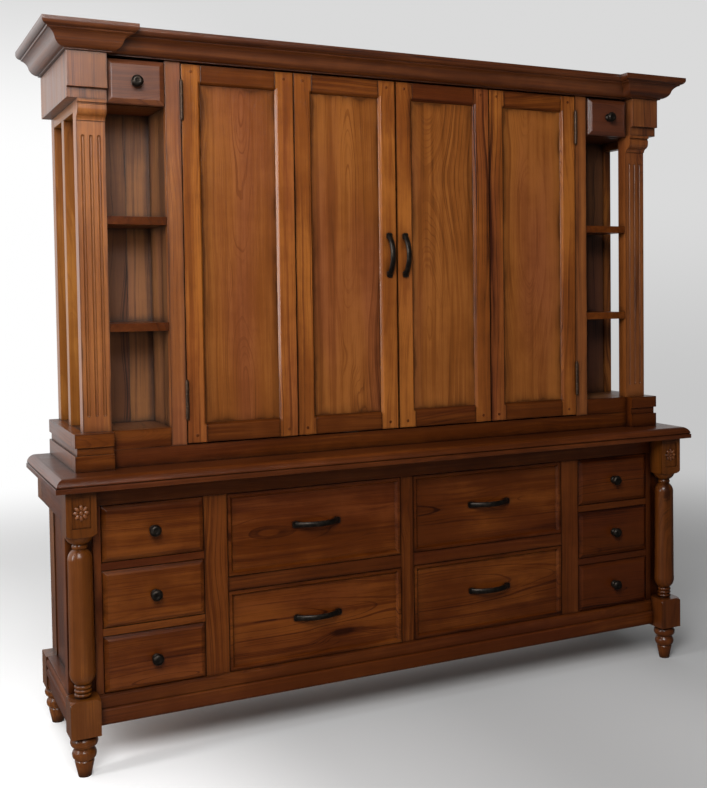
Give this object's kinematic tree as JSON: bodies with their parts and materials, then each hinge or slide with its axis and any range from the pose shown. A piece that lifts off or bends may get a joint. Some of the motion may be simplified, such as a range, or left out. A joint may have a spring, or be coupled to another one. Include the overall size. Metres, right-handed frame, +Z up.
{
  "type": "tv armoire",
  "caption": "Two-part wooden cabinet: a wide base of drawers on turned posts, and a hutch with bi-fold doors over the TV space, open bays, fluted pilasters and a mitred crown.",
  "frame": {"origin": "on the floor under the middle of the base top, at the centre of the bounding box", "axes": "+X to the right along the front as seen from the front, +Y towards the back, +Z up"},
  "size_m": [2.002, 0.521, 1.916],
  "materials": {
    "case_wood": "satin lacquer",
    "top_wood": "satin lacquer",
    "door_wood": "satin lacquer",
    "drawer_wood": "satin lacquer",
    "inner_wood": "thin satin stain",
    "dark_bronze": "dark patina"
  },
  "bodies": {
    "case": {"base_top": "top_wood", "front_posts": "case_wood", "rear_posts": "case_wood", "base_face_frame": "case_wood", "base_side_rails": "case_wood", "base_side_panels": "case_wood", "base_back": "inner_wood", "base_partitions": "inner_wood", "drawer_runners": "inner_wood", "hutch_plinth": "case_wood", "hutch_floor": "inner_wood", "hutch_uprights": "case_wood", "pilasters": "case_wood", "frieze_blocks": "case_wood", "crown": "top_wood", "hutch_top": "inner_wood", "hutch_side_frames": "case_wood", "bay_shelves": "case_wood", "bay_backs": "inner_wood", "hutch_back": "inner_wood", "door_catches": "dark_bronze", "frame_hinges": "dark_bronze"},
    "small_drawer_body_left_top": {"small_drawer_left_top": "drawer_wood", "knob_left_top": "dark_bronze"},
    "small_drawer_body_left_middle": {"small_drawer_left_middle": "drawer_wood", "knob_left_middle": "dark_bronze"},
    "small_drawer_body_left_bottom": {"small_drawer_left_bottom": "drawer_wood", "knob_left_bottom": "dark_bronze"},
    "wide_drawer_body_left_upper": {"wide_drawer_left_upper": "drawer_wood", "pull_left_upper": "dark_bronze"},
    "wide_drawer_body_left_lower": {"wide_drawer_left_lower": "drawer_wood", "pull_left_lower": "dark_bronze"},
    "hutch_drawer_body_left": {"hutch_drawer_left": "drawer_wood", "knob_hutch_left": "dark_bronze"},
    "door_left_outer": {"door_left_outer_frame": "door_wood", "door_left_outer_panel": "door_wood", "door_left_outer_hinges": "dark_bronze"},
    "door_left_inner": {"door_left_inner_frame": "door_wood", "door_left_inner_panel": "door_wood", "door_left_inner_hinges": "dark_bronze", "door_handle_left": "dark_bronze"},
    "small_drawer_body_right_top": {"small_drawer_right_top": "drawer_wood", "knob_right_top": "dark_bronze"},
    "small_drawer_body_right_middle": {"small_drawer_right_middle": "drawer_wood", "knob_right_middle": "dark_bronze"},
    "small_drawer_body_right_bottom": {"small_drawer_right_bottom": "drawer_wood", "knob_right_bottom": "dark_bronze"},
    "wide_drawer_body_right_upper": {"wide_drawer_right_upper": "drawer_wood", "pull_right_upper": "dark_bronze"},
    "wide_drawer_body_right_lower": {"wide_drawer_right_lower": "drawer_wood", "pull_right_lower": "dark_bronze"},
    "hutch_drawer_body_right": {"hutch_drawer_right": "drawer_wood", "knob_hutch_right": "dark_bronze"},
    "door_right_outer": {"door_right_outer_frame": "door_wood", "door_right_outer_panel": "door_wood", "door_right_outer_hinges": "dark_bronze"},
    "door_right_inner": {"door_right_inner_frame": "door_wood", "door_right_inner_panel": "door_wood", "door_right_inner_hinges": "dark_bronze", "door_handle_right": "dark_bronze"}
  },
  "joints": [
    {"name": "small_drawer_slide_left_top", "type": "slide", "parent": "case", "child": "small_drawer_body_left_top", "axis": [0, -1, 0], "range_m": [0, 0.3]},
    {"name": "small_drawer_slide_left_middle", "type": "slide", "parent": "case", "child": "small_drawer_body_left_middle", "axis": [0, -1, 0], "range_m": [0, 0.3]},
    {"name": "small_drawer_slide_left_bottom", "type": "slide", "parent": "case", "child": "small_drawer_body_left_bottom", "axis": [0, -1, 0], "range_m": [0, 0.3]},
    {"name": "wide_drawer_slide_left_upper", "type": "slide", "parent": "case", "child": "wide_drawer_body_left_upper", "axis": [0, -1, 0], "range_m": [0, 0.3]},
    {"name": "wide_drawer_slide_left_lower", "type": "slide", "parent": "case", "child": "wide_drawer_body_left_lower", "axis": [0, -1, 0], "range_m": [0, 0.3]},
    {"name": "hutch_drawer_slide_left", "type": "slide", "parent": "case", "child": "hutch_drawer_body_left", "axis": [0, -1, 0], "range_m": [0, 0.12]},
    {"name": "door_left_swing", "type": "hinge", "parent": "case", "child": "door_left_outer", "pos_m": [-0.635, -0.1335, 1.335], "axis": [0, 0, -1], "range_deg": [0, 85]},
    {"name": "door_left_fold", "type": "hinge", "parent": "door_left_outer", "child": "door_left_inner", "pos_m": [-0.3166, -0.1059, 1.335], "axis": [0, 0, -1], "range_deg": [-170, 0]},
    {"name": "small_drawer_slide_right_top", "type": "slide", "parent": "case", "child": "small_drawer_body_right_top", "axis": [0, -1, 0], "range_m": [0, 0.3]},
    {"name": "small_drawer_slide_right_middle", "type": "slide", "parent": "case", "child": "small_drawer_body_right_middle", "axis": [0, -1, 0], "range_m": [0, 0.3]},
    {"name": "small_drawer_slide_right_bottom", "type": "slide", "parent": "case", "child": "small_drawer_body_right_bottom", "axis": [0, -1, 0], "range_m": [0, 0.3]},
    {"name": "wide_drawer_slide_right_upper", "type": "slide", "parent": "case", "child": "wide_drawer_body_right_upper", "axis": [0, -1, 0], "range_m": [0, 0.3]},
    {"name": "wide_drawer_slide_right_lower", "type": "slide", "parent": "case", "child": "wide_drawer_body_right_lower", "axis": [0, -1, 0], "range_m": [0, 0.3]},
    {"name": "hutch_drawer_slide_right", "type": "slide", "parent": "case", "child": "hutch_drawer_body_right", "axis": [0, -1, 0], "range_m": [0, 0.12]},
    {"name": "door_right_swing", "type": "hinge", "parent": "case", "child": "door_right_outer", "pos_m": [0.635, -0.1335, 1.335], "axis": [0, 0, 1], "range_deg": [0, 85]},
    {"name": "door_right_fold", "type": "hinge", "parent": "door_right_outer", "child": "door_right_inner", "pos_m": [0.3166, -0.1059, 1.335], "axis": [0, 0, 1], "range_deg": [-170, 0]}
  ],
  "couplings": [
    {"joint": "door_left_fold", "follows": "door_left_swing", "ratio": -2},
    {"joint": "door_right_fold", "follows": "door_right_swing", "ratio": -2}
  ]
}
